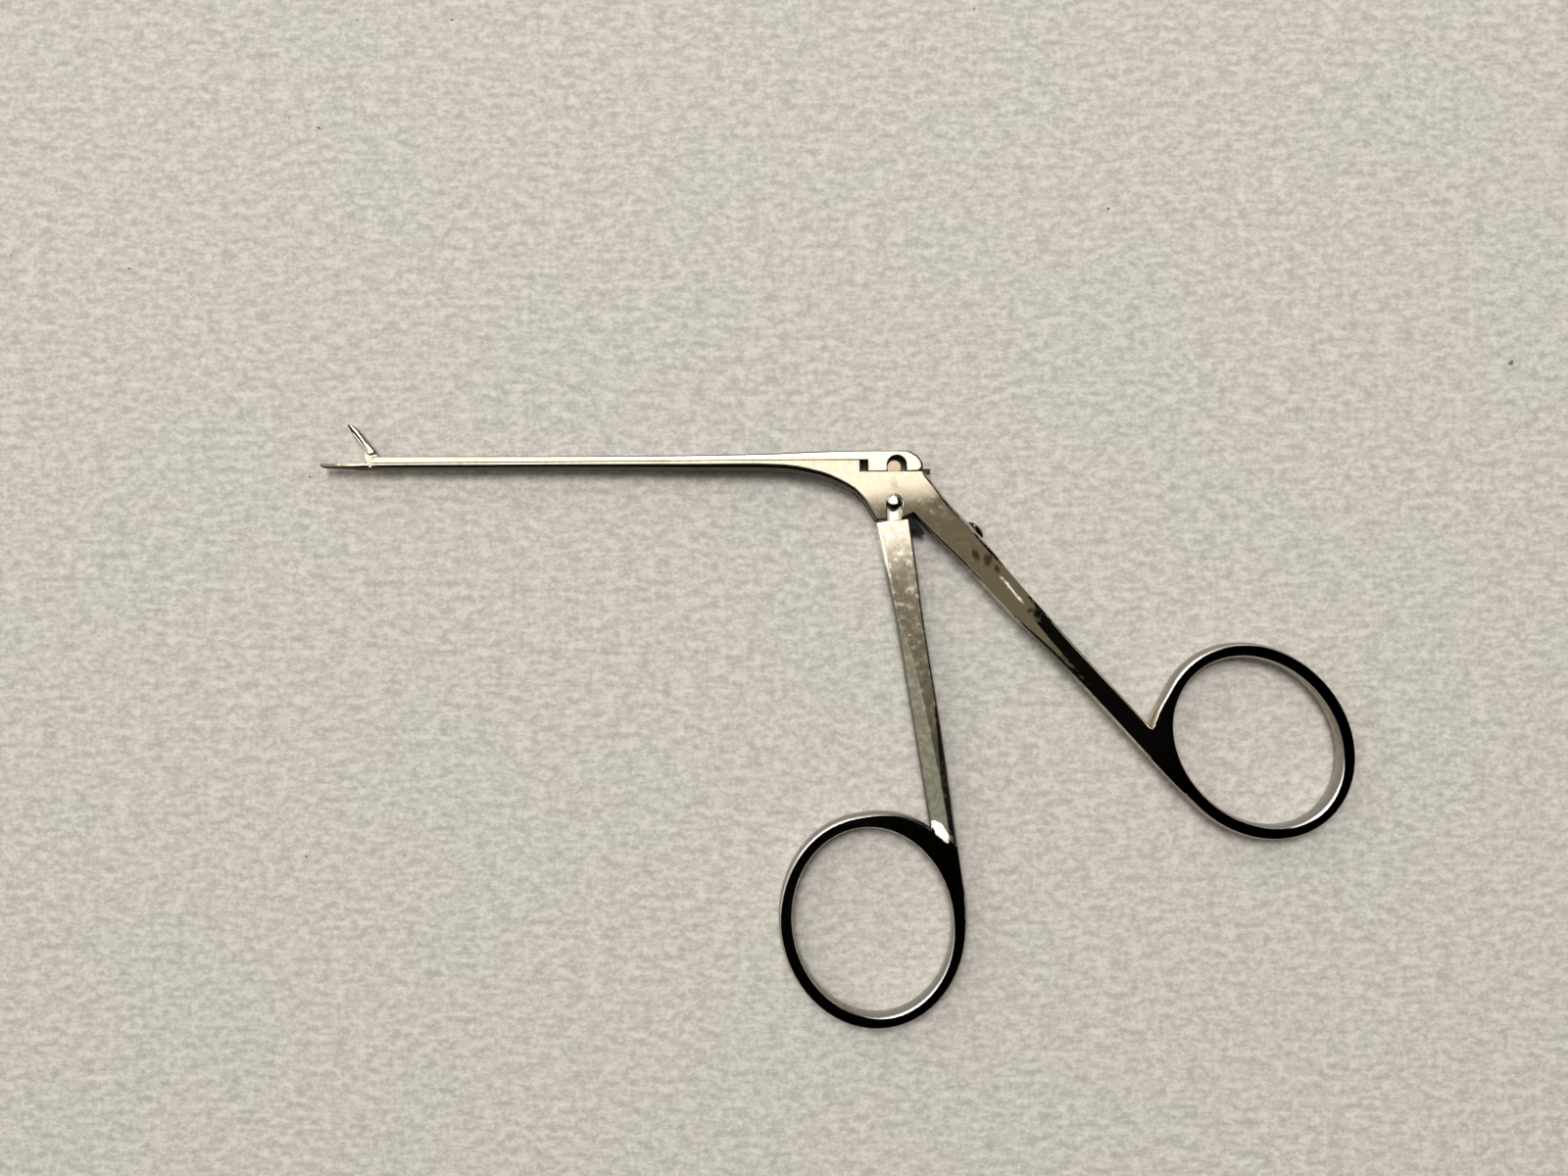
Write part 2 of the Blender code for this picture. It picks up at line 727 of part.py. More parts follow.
def make_fixed_handle(parts, cutters, material):
    half = rounded_plate("fixed_handle", fixed_outline(), fixed_thickness, parts, [THUMB_RIDGE])
    half.data.materials.append(material)
    ring = finger_ring(
        "thumb_ring", THUMB_RING_CENTRE, THUMB_RING_LONG, THUMB_RING_SHORT, THUMB_RING_LEAN,
        THUMB_RING_SWELL, THUMB_RING_SWELL_AT, THUMB_RING_SWELL_SPREAD, cutters,
    )
    join(half, ring)
    top = JOINT_HEIGHT - RUN_GAP
    floor = HEAD_FLOOR_HEIGHT - RUN_GAP
    slot_back = JAW_PIVOT[0] + TANG_SLOT_BACK
    cut(half, dovetail("bar_channel", slot_back - TINY, WINDOW_BACK_X + STOP_GAP, top, RUN_GAP, cutters))
    cut(half, dovetail("body_channel", WINDOW_BACK_X, 2 * BODY_TOP_CORNER, floor, RUN_GAP, cutters))
    cut(half, prism("lever_slot", lever_slot_outline(), SLOT_WIDTH, cutters))
    low = (JAW_PIVOT[0] - TANG_SLOT_FRONT, JAW_PIVOT[1] - NOSE_DEPTH)
    high = (slot_back, JAW_PIVOT[1] + NOSE_DEPTH)
    cut(half, block("tang_slot", low, high, TANG_SLOT_WIDTH, cutters))
    hole = round_bar(
        "jaw_pivot_hole", JAW_PIN_RADIUS + PIN_GAP, BODY_THICKNESS, SMALL_PIN_STEPS, cutters, JAW_PIVOT
    )
    cut(half, hole)
    shank = SCREW_SHANK_RADIUS + PIN_GAP
    depth = SCREW_SHANK_LENGTH + SCREW_SEAT
    hole = turned(
        "screw_hole", ((0.0, SCREW_HEAD_RADIUS), (shank, SCREW_HEAD_RADIUS), (shank, -depth), (0.0, -depth)),
        PIN_STEPS, cutters,
    )
    place_on_edge(hole)
    cut(half, hole)
    return half


def place_on_edge(obj):
    """Turns a round piece so that it stands square out of the rear edge of the thumb handle."""
    start = Vector(THUMB_OUTER_EDGE[7][:2])
    end = Vector(THUMB_OUTER_EDGE[6][:2])
    along = (end - start).normalized()
    out = math.atan2(along.x, -along.y)
    seat = start + along * (Vector(SCREW_PLACE) - start).dot(along)
    obj.location = (seat.x, seat.y, MID)
    obj.rotation_euler = (0.0, math.pi / 2, out)


def slide_outline():
    """The slide bar seen from above, anticlockwise from the front of its head."""
    nose = [
        (NOSE_X + SLIDE_NOSE_ROUNDING, JOINT_HEIGHT + SLIDE_NOSE_HEIGHT, SLIDE_NOSE_ROUNDING),
    ]
    top = [(x, JOINT_HEIGHT + up, r) for x, up, r in HEAD_BACK + SLIDE_TOP]
    arch = (ARCH_X, ARCH_HEIGHT)
    corner = SLIDE_NOSE_ROUNDING
    outline = curve_through(
        [(NOSE_X, JOINT_HEIGHT, SLIDE_EDGE), (HEAD_FRONT_X, JOINT_HEIGHT, SLIDE_EDGE)], BAR_SPACING
    )
    outline += straight([(HEAD_FRONT_X, HEAD_FLOOR_HEIGHT, SLIDE_EDGE)])
    outline += straight([(ARCH_X - ARCH_RADIUS, HEAD_FLOOR_HEIGHT, SLIDE_EDGE)])
    outline += arc(arch, ARCH_RADIUS, 180, 0, ARCH_STEPS, SLIDE_EDGE)
    outline += straight([(ARCH_X + ARCH_RADIUS, HEAD_FLOOR_HEIGHT, SLIDE_EDGE)])
    outline += curve_through(top + nose, EDGE_SPACING)
    corner_centre = (NOSE_X + corner, JOINT_HEIGHT + SLIDE_NOSE_HEIGHT - corner)
    return outline + arc(corner_centre, corner, 90, 180, ROUNDING_STEPS, SLIDE_NOSE_EDGE)


def make_slide(parts, cutters, material):
    slide = rounded_plate("slide_bar", slide_outline(), bar_thickness, parts)
    slide.data.materials.append(material)
    front = NOSE_X + GUIDE_START
    arch_left = ARCH_X - ARCH_RADIUS
    arch_right = ARCH_X + ARCH_RADIUS
    join(slide, dovetail("bar_guide", front, -GUIDE_END, JOINT_HEIGHT, 0.0, cutters))
    join(slide, dovetail("head_guide", HEAD_FRONT_X, arch_left, HEAD_FLOOR_HEIGHT, 0.0, cutters))
    join(slide, dovetail("tail_guide", arch_right, GUIDE_TAIL, HEAD_FLOOR_HEIGHT, 0.0, cutters))
    low = (NOSE_X - STROKE, JOINT_HEIGHT - GUIDE_DEPTH)
    high = (NOSE_X + FORK_DEPTH, JOINT_HEIGHT + 2 * SLIDE_NOSE_HEIGHT)
    cut(slide, block("fork_slot", low, high, TANG_SLOT_WIDTH, cutters))
    hole = round_bar(
        "drive_pin_hole", DRIVE_PIN_RADIUS + PIN_GAP, BODY_THICKNESS, SMALL_PIN_STEPS, cutters, DRIVE_PIN
    )
    cut(slide, hole)
    return slide


def tongue_outline():
    """The thin tongue of the lever: a round tip, a neck, a boss, a root and a stop beside it."""
    tip = (TIP_LEAD, TIP_HEIGHT)
    neck = TIP_HEIGHT - TIP_SHOULDER
    left = [
        (TIP_LEAD / 2 - TONGUE_NECK, neck, TONGUE_EDGE),
        (-TONGUE_BOSS, 0.0, TONGUE_EDGE),
        (-TONGUE_ROOT_HALF, -TONGUE_ROOT, TONGUE_EDGE),
    ]
    right = [
        (TONGUE_BOSS, 0.0, TONGUE_EDGE),
        (TIP_LEAD / 2 + TONGUE_NECK, neck, TONGUE_EDGE),
    ]
    stop = [Vector((TONGUE_ROOT_HALF, -TONGUE_ROOT, TONGUE_EDGE))]
    stop += [Vector((x, y, TONGUE_EDGE)) for x, y in TONGUE_STOP]
    end = arc(tip, TIP_RADIUS, -TIP_WRAP, 180 + TIP_WRAP, TIP_STEPS, TONGUE_EDGE)
    outline = end + curve_through([end[-1]] + left, EDGE_SPACING / 2)
    return outline + stop + curve_through(right + [end[0]], EDGE_SPACING / 2)


def make_lever(parts, cutters, material):
    outline = straight([LEVER_SHOULDER])
    outline += curve_through(LEVER_LEFT_EDGE, EDGE_SPACING)
    outline += straight(LEVER_ROOT)
    outline += curve_through(LEVER_RIGHT_EDGE + (LEVER_SHOULDER,), EDGE_SPACING)
    ridges = [LEVER_LEFT_RIDGE, LEVER_RIGHT_RIDGE]
    lever = rounded_plate("finger_lever", outline, lever_thickness, parts, ridges)
    lever.data.materials.append(material)
    ring = finger_ring(
        "finger_ring", FINGER_RING_CENTRE, FINGER_RING_LONG, FINGER_RING_SHORT, FINGER_RING_LEAN,
        FINGER_RING_SWELL, FINGER_RING_SWELL_AT, FINGER_RING_SWELL_SPREAD, cutters,
    )
    join(lever, ring)
    tongue = rounded_plate("lever_tongue", tongue_outline(), even_thickness(TONGUE_THICKNESS), cutters)
    join(lever, tongue)
    hole = round_bar("pivot_hole", PIVOT_PIN_RADIUS + PIN_GAP, BODY_THICKNESS, PIN_STEPS, cutters)
    cut(lever, hole)
    return lever


def make_pivot_pin(parts, material):
    """The lever pivot, with a low dome at the end that shows."""
    radius = PIVOT_PIN_RADIUS
    profile = dome(radius, BODY_THICKNESS, PIVOT_PIN_DOME) + [(radius, PIN_RECESS), (0.0, PIN_RECESS)]
    pin = turned("lever_pivot_pin", profile, PIN_STEPS, parts)
    pin.data.materials.append(material)
    return pin


def jaw_points(points):
    """Points given from the jaw pivot, placed on the drawing."""
    return [Vector((JAW_PIVOT[0] + x, JAW_PIVOT[1] + y, rounding)) for x, y, rounding in points]


def make_upper_jaw(parts, cutters, material):
    """The curved blade, and under it a thin tang with the pivot hole and the slot of the drive pin."""
    outline = curve_through(jaw_points(JAW_BACK), SMALL_SPACING)
    outline += curve_through(jaw_points(JAW_GRIP), SMALL_SPACING)
    jaw = rounded_plate("upper_jaw", outline, even_thickness(UPPER_JAW_THICKNESS), parts)
    jaw.data.materials.append(material)
    lobe = arc(JAW_PIVOT, TANG_LOBE, -90 - TANG_LOBE_WRAP, -90 + TANG_LOBE_WRAP, ARC_STEPS)
    outline = lobe + jaw_points(TANG_BACK) + jaw_points(TANG_FRONT)
    join(jaw, prism("jaw_tang", outline, TANG_THICKNESS, cutters))
    hole = round_bar(
        "tang_pivot_hole", JAW_PIN_RADIUS + PIN_GAP, BODY_THICKNESS, SMALL_PIN_STEPS, cutters, JAW_PIVOT
    )
    cut(jaw, hole)
    half = DRIVE_PIN_RADIUS + PIN_GAP
    way = Vector((STROKE / 2, DRIVE_RISE)).normalized()
    lean = math.degrees(math.atan2(way.y, way.x))
    near = Vector(JAW_PIVOT) + way * (DRIVE_RISE - PIN_GAP)
    far = Vector(JAW_PIVOT) + way * (DRIVE_REACH + PIN_GAP)
    slot = arc(far, half, lean - 90, lean + 90, ARC_STEPS)
    slot += arc(near, half, lean + 90, lean + 270, ARC_STEPS)
    cut(jaw, prism("tang_drive_slot", slot, BODY_THICKNESS, cutters))
    return jaw


def make_small_pin(name, radius, place, parts, material):
    """A pin through the nose, flush to within its recess."""
    pin = round_bar(name, radius, NOSE_THICKNESS - 2 * PIN_RECESS, SMALL_PIN_STEPS, parts, place)
    pin.data.materials.append(material)
    return pin


def make_screw(parts, material):
    """A domed head over a plain shank."""
    profile = dome(SCREW_HEAD_RADIUS, SCREW_SEAT + SCREW_HEAD_RIM, SCREW_HEAD_HEIGHT - SCREW_HEAD_RIM)
    profile.append((SCREW_HEAD_RADIUS, SCREW_SEAT))
    profile.append((SCREW_SHANK_RADIUS, SCREW_SEAT))
    profile.append((SCREW_SHANK_RADIUS, -SCREW_SHANK_LENGTH))
    profile.append((0.0, -SCREW_SHANK_LENGTH))
    screw = turned("handle_screw", profile, PIN_STEPS, parts)
    screw.data.materials.append(material)
    place_on_edge(screw)
    return screw


def ring_reach(long_radius, short_radius, lean, direction):
    """How far a ring reaches from its centre in a direction."""
    angle = math.radians(direction - lean)
    return math.hypot(short_radius * math.cos(angle), long_radius * math.sin(angle)) + RING_WALL


def axis_empty(name, place, parent, group):
    """An empty on a joint axis, or at the middle of the drawing."""
    empty = bpy.data.objects.new(name, None)
    group.objects.link(empty)
    empty.empty_display_size = PIVOT_PIN_RADIUS
    empty.location = (*place, 0.0)
    empty.parent = parent
    return empty


def carry(empty, objects):
    """Parents objects drawn from the lever pivot to an empty and leaves them where they are drawn."""
    for obj in objects:
        obj.parent = empty
        obj.location -= empty.location if empty.parent else Vector()


def centre_of_drawing():
    """The middle of the bounding box, measured from the lever pivot."""
    left = NOSE_X - JAW_LENGTH
    right = THUMB_RING_CENTRE[0] + ring_reach(THUMB_RING_LONG, THUMB_RING_SHORT, THUMB_RING_LEAN, 0)
    top = JAW_PIVOT[1] + JAW_BACK[-1][1]
    reach = ring_reach(FINGER_RING_LONG, FINGER_RING_SHORT, FINGER_RING_LEAN, 270)
    bottom = FINGER_RING_CENTRE[1] - reach
    return Vector(((left + right) / 2, (bottom + top) / 2))


def main():
    for obj in list(bpy.data.objects):
        bpy.data.objects.remove(obj)
    parts = collection_named("crimper_forceps")
    cutters = collection_named("cutters")
    cutters.hide_render = True
    satin = metal("satin_steel", (0.80, 0.77, 0.70), 0.28)
    polished = metal("polished_steel", (0.62, 0.62, 0.60), 0.12)
    make_fixed_handle(parts, cutters, satin)
    slide = make_slide(parts, cutters, satin)
    lever = make_lever(parts, cutters, polished)
    lever_pin = make_pivot_pin(parts, polished)
    upper_jaw = make_upper_jaw(parts, cutters, satin)
    make_small_pin("jaw_pivot_pin", JAW_PIN_RADIUS, JAW_PIVOT, parts, polished)
    drive_pin = make_small_pin("jaw_drive_pin", DRIVE_PIN_RADIUS, DRIVE_PIN, parts, polished)
    make_screw(parts, polished)

    frame = axis_empty("drawing_origin", -centre_of_drawing(), None, parts)
    lever_axis = axis_empty("lever_axis", (0.0, 0.0), frame, parts)
    slide_axis = axis_empty("slide_axis", (0.0, JOINT_HEIGHT), frame, parts)
    jaw_axis = axis_empty("jaw_axis", JAW_PIVOT, frame, parts)
    carry(lever_axis, (lever, lever_pin))
    carry(slide_axis, (slide, drive_pin))
    carry(jaw_axis, (upper_jaw,))
    carry(frame, [obj for obj in bpy.data.objects if obj.type == "MESH" and not obj.parent])


main()
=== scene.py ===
"""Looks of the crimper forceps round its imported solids: worn and polished steel on a pale cloth.

Metres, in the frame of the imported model: jaws towards -X, slide bar towards +Y, up is +Z.
The marks on the steel are placed in millimetres, and turned in degrees.
"""

import math

import bpy
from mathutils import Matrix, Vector

EAST = (1.0, 0.0, 0.0)
WEST = (-1.0, 0.0, 0.0)
NORTH = (0.0, 1.0, 0.0)
UP = (0.0, 0.0, 1.0)
MM_PER_METRE = 1000

# Camera, straight over the forceps
CAMERA_PLACE = (-0.007512, 0.019490, 0.170000)
CAMERA_ROLL = -0.327
CAMERA_LENS = 27.18
CAMERA_SENSOR = 36.0
CAMERA_CLIP = (0.01, 10.0)

FLOOR_SIZE = 3.0
FLOOR_COLOUR = (0.715, 0.690, 0.640)
FLOOR_SHADE = (0.440, 0.425, 0.390)
FLOOR_TINGE = (1.03, 0.99, 1.01)
FLOOR_SPECK = (0.16, 0.14, 0.12)
FLOOR_ROUGHNESS = 0.9
FIBRE_SIZE = (0.0026, 0.0011, 0.0011)
FIBRE_NOISE = (5.0, 0.65)
FELT_NOISE = (1000.0, 4.0, 0.75)
FELT_DEPTH = 0.00004
WEAVE_RISE = (0.36, 0.64)
TINGE_NOISE = (28.0, 2.0)
TINGE_RISE = (0.4, 0.6)
SPECK_NOISE = (520.0, 1.0)
SPECK_RISE = (0.80, 0.82)

KEY_PLACE = (-0.09, 0.40, 0.90)
KEY_SIZE = 0.35
KEY_POWER = 5.6
KEY_COLOUR = (1.0, 0.985, 0.955)

# Room round the table, as directions: the two planes that bound the bright side, and the window
BRIGHT_SIDE = (-0.184, 0.983, -0.0595)
BRIGHT_EDGE = (-1.0, 0.0, 0.33)
WINDOW_WAY = (-0.62, 0.74, 0.26)
ROOM_DARK = (0.0045, 0.0042, 0.0038)
ROOM_BROWN = (0.170, 0.153, 0.112)
ROOM_GREY = (0.29, 0.305, 0.255)
ROOM_LIT = (1.40, 1.34, 1.22)
ROOM_WINDOW = (1.50, 1.45, 1.35)
ROOM_HORIZON = (0.58, 0.57, 0.55)

# Soft steps between the parts of the room, from start to end along a direction
BROWN_ACROSS = (-0.31, -0.15)
BROWN_LEFT = (-0.385, -0.20)
GREY_LEFT = (0.01, 0.07)
GREY_BEHIND = (-0.45, -0.30)
LIT_ACROSS = (-0.011, 0.009)
LIT_BESIDE = (-0.02, 0.05)
LIT_HEIGHT = (0.30, 0.42)
WINDOW_RISE = (0.875, 0.915)
HORIZON_HEIGHT = (0.19, 0.14)

# Smooth shading: which edges stay sharp, in degrees, and how far up a flat top faces
CORNER_ANGLE = 38.0
RIDGE_ANGLES = (3.5, 14.0)
BORDER_ANGLE = 2.5
TOP_FACING = 0.992
JOIN_DISTANCE = 0.0000005
# Where the ridges end along Y: a metre away for a piece without ridges
HANDLE_RIDGE_END = -0.001
LEVER_RIDGE_END = -0.014
NO_RIDGES = 1.0

# Steel: soft steps in how far up a surface faces, from 0 on a wall to 1 on a flat top
FLANK_FACING = (0.78, 0.66)
RIM_FACING = (0.94, 0.80)
CROWN_FACING = (0.56, 0.66)
RING_WALL_FACING = (0.48, 0.60)
# Tones of the painted shade on the rings' walls, from steep to shallow
RING_WALL_TONES = (0.38, 1.0)
SHOULDER_WAY = (-0.64, 0.77, 0.0)
SHOULDER_FACING = (0.46, 0.54)
# Heights of the painted wall shade: the top tone above the first, the foot tone below the second
SIDE_HEIGHTS = (0.0020, 0.0014)
FLANK_ROUGHNESS = 0.25
MARK_HEIGHT_FADE = 0.0001
RING_FADE = 0.01

# Steel: its patterns, as scale, detail, roughness and bend, and what they do to tone and gloss
BRUSH_SIZE = (0.012, 0.0003, 0.0003)
BRUSH_NOISE = (4.0, 0.6)
BRUSH_TONES = (0.35, 0.68, 0.96, 1.02)
BRUSH_DULLING = (0.3, 0.7, 0.0, 0.015)
BRUSH_DEPTH = 0.0000002
WAVE_NOISE = (160.0, 2.0, 0.5)
WAVE_DEPTH = 0.000010
BLOTCH_NOISE = (420.0, 5.0, 0.62, 0.4)
CLOUD_NOISE = (1100.0, 3.0, 0.6)
STAIN_RISE = (0.54, 0.72)
CLOUD_RISE = (0.30, 0.70)
CLOUD_DARKER = 1.4
CLOUD_LIGHTER = 0.6
DULL_RISE = (0.50, 0.74)
RAGGED_RIM = (0.3, 0.7, -0.25, 0.25)

WARM = (0.86, 0.775, 0.625)
BROWN = (0.70, 0.61, 0.48)
PALE = (0.90, 0.85, 0.76)
LEVER = (0.87, 0.79, 0.66)
LEVER_STAIN = (0.62, 0.52, 0.39)
PIN = (0.74, 0.70, 0.62)
# The pivot pin's near black is a painted dark reflection
PIVOT_PAINTED_REFLECTION = (0.05, 0.048, 0.045)
SCREW = (0.04, 0.04, 0.04)
RUST = (0.30, 0.20, 0.12)
# Soot as a stain on the pivot pin and the screw, and black painted as shade and dark reflection on
# the rings' tops, the stop in the wedge and the jaw's blade
SOOT_AND_PAINTED_SHADE = (0.016, 0.015, 0.014)
# Painted highlights on the rings' shoulders, edges, the crook, the blade, the pin and the screw
PAINTED_HIGHLIGHT = (0.92, 0.90, 0.86)
LEVEL = "level"

# Directions of brushing
HANDLE_WAY = -46.5
LEVER_WAY = -80.0
SLIDE_WAY = 0.0
JAW_WAY = 120.0
PIN_WAY = 90.0
SCREW_WAY = 45.0

# Where the slide's dark outline, a painted shade on its roundings, fades in along X
SLIDE_OUTLINE = (0.004, -0.004)

# Rings, each a centre and a radius
THUMB_RING = ((59.2, -2.6), 15.2)
FINGER_RING = ((4.6, -27.6), 15.9)

# Marks: centre, turn, size, softness, the height in metres up to which a mark shows or 0 for
# all of it, colour, roughness, and a lean of the surface or LEVEL, which takes a lean out
BODY_MARKS = (
    # Start of the handle's facet, rust and a polished streak
    ((24.2, 19.4), -49.0, (5.6, 4.0), 0.5, 0.0, (0.76, 0.69, 0.56), 0.06, LEVEL),
    ((19.4, 24.0), 25.0, (0.45, 0.95), 0.5, 0.0, RUST, 0.05, None),
    ((21.1, 23.3), -10.0, (0.55, 0.80), 0.5, 0.0, RUST, 0.05, None),
    ((22.4, 21.9), 30.0, (0.35, 0.60), 0.6, 0.0, RUST, 0.05, None),
    ((24.5, 19.0), -50.0, (2.2, 0.20), 0.9, 0.0, (0.72, 0.67, 0.58), 0.3, (-0.036, 0.040)),
    # Seam under the slide, lower jaw, handle next to its ring
    ((-4.0, 37.42), 0.0, (7.5, 0.10), 0.5, 0.0, (0.62, 0.40, 0.22), 0.2, None),
    ((-73.0, 37.0), 0.0, (3.2, 0.9), 0.4, 0.0, (0.22, 0.18, 0.15), 0.2, None),
    ((41.1, 1.4), -46.5, (8.5, 4.5), 0.6, 0.0, (0.60, 0.54, 0.44), 0.06, (0.10, -0.08)),
    # Painted shade on the wall under the bar, a painted reflection of the floor on the rear edge,
    # and a painted highlight on the edge by the pivot's slot
    ((-28.0, 33.0), 0.0, (34.0, 7.0), 0.1, 0.0024, (0.10, 0.09, 0.075), 0.3, None),
    ((16.6, 30.5), -49.3, (6.9, 0.42), 0.3, 0.0, (0.75, 0.72, 0.66), 0.45, None),
    ((8.94, 30.2), 90.0, (0.85, 0.17), 0.2, 0.0, PAINTED_HIGHLIGHT, 0.15, (-0.20, 0.25)),
)
LEVER_MARKS = (
    # Painted shade on the stop in the wedge, a scratch, a painted highlight on the crook at the
    # foot, and a painted highlight on an edge
    ((11.9, 28.3), -50.0, (3.4, 2.2), 0.05, 0.0032, SOOT_AND_PAINTED_SHADE, 0.3, None),
    ((9.94, 15.5), 8.0, (1.8, 0.08), 0.5, 0.0, (0.25, 0.23, 0.19), 0.3, None),
    ((14.3, -14.8), -52.0, (1.75, 0.68), 0.3, 0.0, PAINTED_HIGHLIGHT, 0.08, (-0.40, 0.40)),
    ((6.2, 25.5), -76.0, (3.8, 0.22), 0.7, 0.0, PAINTED_HIGHLIGHT, 0.15, (-0.06, 0.05)),
    # Painted shade on the tip in the arch, and the tongue below the pin
    ((8.3, 36.7), 0.0, (1.3, 1.4), 0.2, 0.0, (0.44, 0.36, 0.27), 0.25, None),
    ((8.1, 29.4), 90.0, (1.6, 0.62), 0.2, 0.0032, (0.74, 0.60, 0.53), 0.15, (0.0, 0.06)),
)
SLIDE_PAINTED_SHADE = (
    # Painted shade, warmer and darker, on the rear of the head, and painted shade on the tongue
    # that shows under it
    ((12.7, 37.4), 0.0, (1.3, 1.7), 0.3, 0.0, (0.80, 0.73, 0.60), 0.2, None),
    ((12.9, 35.9), 0.0, (2.2, 1.9), 0.05, 0.0032, (0.022, 0.015, 0.010), 0.3, None),
)
JAW_PAINTED_SHADE_AND_HIGHLIGHT = (
    # The blade is painted dark as a dark reflection, with a painted highlight stripe and a painted
    # dark line in it
    ((-68.2, 41.3), -52.4, (3.3, 0.62), 0.1, 0.0, SOOT_AND_PAINTED_SHADE, 0.2, None),
    ((-67.5, 40.35), -52.4, (1.95, 0.33), 0.25, 0.0, PAINTED_HIGHLIGHT, 0.1, (-0.2, 0.2)),
    ((-67.42, 40.42), -52.4, (1.8, 0.080), 0.4, 0.0, SOOT_AND_PAINTED_SHADE, 0.2, None),
)
# A painted highlight on the upper part of the pivot pin's dome
PIN_PAINTED_HIGHLIGHT = (((8.1, 32.05), 0.0, (1.15, 0.95), 0.06, 0.0, PAINTED_HIGHLIGHT, 0.08, (-0.04, 0.10)),)
# A painted glint on the screw's head
SCREW_PAINTED_GLINT = (((19.4, 28.15), 0.0, (0.16, 0.14), 0.3, 0.0, PAINTED_HIGHLIGHT, 0.4, None),)

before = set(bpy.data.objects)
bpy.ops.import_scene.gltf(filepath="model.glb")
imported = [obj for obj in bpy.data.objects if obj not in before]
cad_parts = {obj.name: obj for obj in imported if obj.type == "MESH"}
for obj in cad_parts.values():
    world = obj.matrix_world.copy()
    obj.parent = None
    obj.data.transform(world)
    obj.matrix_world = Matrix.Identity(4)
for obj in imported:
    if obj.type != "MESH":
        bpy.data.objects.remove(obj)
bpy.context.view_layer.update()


def node(tree, kind, **values):
    """A shader node with its settings."""
    made = tree.nodes.new(kind)
    for name, value in values.items():
        setattr(made, name, value)
    return made


def put(tree, socket, value):
    """Feeds a socket from another one, or sets it."""
    if isinstance(value, bpy.types.NodeSocket):
        tree.links.new(value, socket)
    else:
        socket.default_value = value


def rgb(colour):
    """A colour with its alpha, or a socket as it is."""
    return (*colour, 1.0) if isinstance(colour, tuple) else colour


def maths(tree, operation, first, second):
    made = node(tree, "ShaderNodeMath", operation=operation)
    put(tree, made.inputs[0], first)
    put(tree, made.inputs[1], second)
    return made.outputs[0]


def product(tree, first, *others):
    for other in others:
        first = maths(tree, "MULTIPLY", first, other)
    return first


def dot(tree, vector, way):
    made = node(tree, "ShaderNodeVectorMath", operation="DOT_PRODUCT")
    put(tree, made.inputs[0], vector)
    made.inputs[1].default_value = way
    return made.outputs["Value"]


def normalized(tree, vector):
    made = node(tree, "ShaderNodeVectorMath", operation="NORMALIZE")
    put(tree, made.inputs[0], vector)
    return made.outputs[0]


def rise(tree, value, start, end, low=0.0, high=1.0):
    """A soft step from low to high while the value goes from start to end."""
    made = node(tree, "ShaderNodeMapRange", interpolation_type="SMOOTHSTEP")
    put(tree, made.inputs["Value"], value)
    made.inputs["From Min"].default_value = start
    made.inputs["From Max"].default_value = end
    made.inputs["To Min"].default_value = low
    made.inputs["To Max"].default_value = high
    return made.outputs["Result"]


def mixed_as(tree, data_type, share, first, second, **values):
    made = node(tree, "ShaderNodeMix", data_type=data_type, **values)
    put(tree, made.inputs["Factor"], share)
    put(tree, made.inputs["A"], first)
    put(tree, made.inputs["B"], second)
    return made.outputs["Result"]


def mixed(tree, share, first, second, kind="MIX"):
    return mixed_as(tree, "RGBA", share, rgb(first), rgb(second), blend_type=kind)


def mixed_value(tree, share, first, second):
    return mixed_as(tree, "FLOAT", share, first, second)


def mixed_vector(tree, share, first, second):
    """Two directions mixed into one of length 1."""
    return normalized(tree, mixed_as(tree, "VECTOR", share, first, second))


def toned(tree, colour, value):
    """A colour made darker or lighter by a value."""
    grey = node(tree, "ShaderNodeCombineColor")
    for socket in grey.inputs:
        put(tree, socket, value)
    return mixed(tree, 1.0, colour, grey.outputs[0], "MULTIPLY")


def placed(tree, place, centre, turn, size):
    """Coordinates round a centre, turned about Z and stretched."""
    made = node(tree, "ShaderNodeMapping", vector_type="TEXTURE")
    put(tree, made.inputs["Vector"], place)
    made.inputs["Location"].default_value = centre
    made.inputs["Rotation"].default_value = (0.0, 0.0, math.radians(turn))
    made.inputs["Scale"].default_value = size
    return made.outputs["Vector"]


def noise(tree, place, scale, detail, roughness=0.55, bend=0.0):
    made = node(tree, "ShaderNodeTexNoise")
    put(tree, made.inputs["Vector"], place)
    made.inputs["Scale"].default_value = scale
    made.inputs["Detail"].default_value = detail
    made.inputs["Roughness"].default_value = roughness
    made.inputs["Distortion"].default_value = bend
    return made.outputs[0]


def streaks(tree, place, turn, size, detail, roughness):
    """Noise in streaks of a size along a turn."""
    return noise(tree, placed(tree, place, (0.0, 0.0, 0.0), turn, size), 1.0, detail, roughness)


def bumped(tree, height, distance, normal=None):
    made = node(tree, "ShaderNodeBump")
    made.inputs["Strength"].default_value = 1.0
    made.inputs["Distance"].default_value = distance
    put(tree, made.inputs["Height"], height)
    if normal:
        put(tree, made.inputs["Normal"], normal)
    return made.outputs["Normal"]


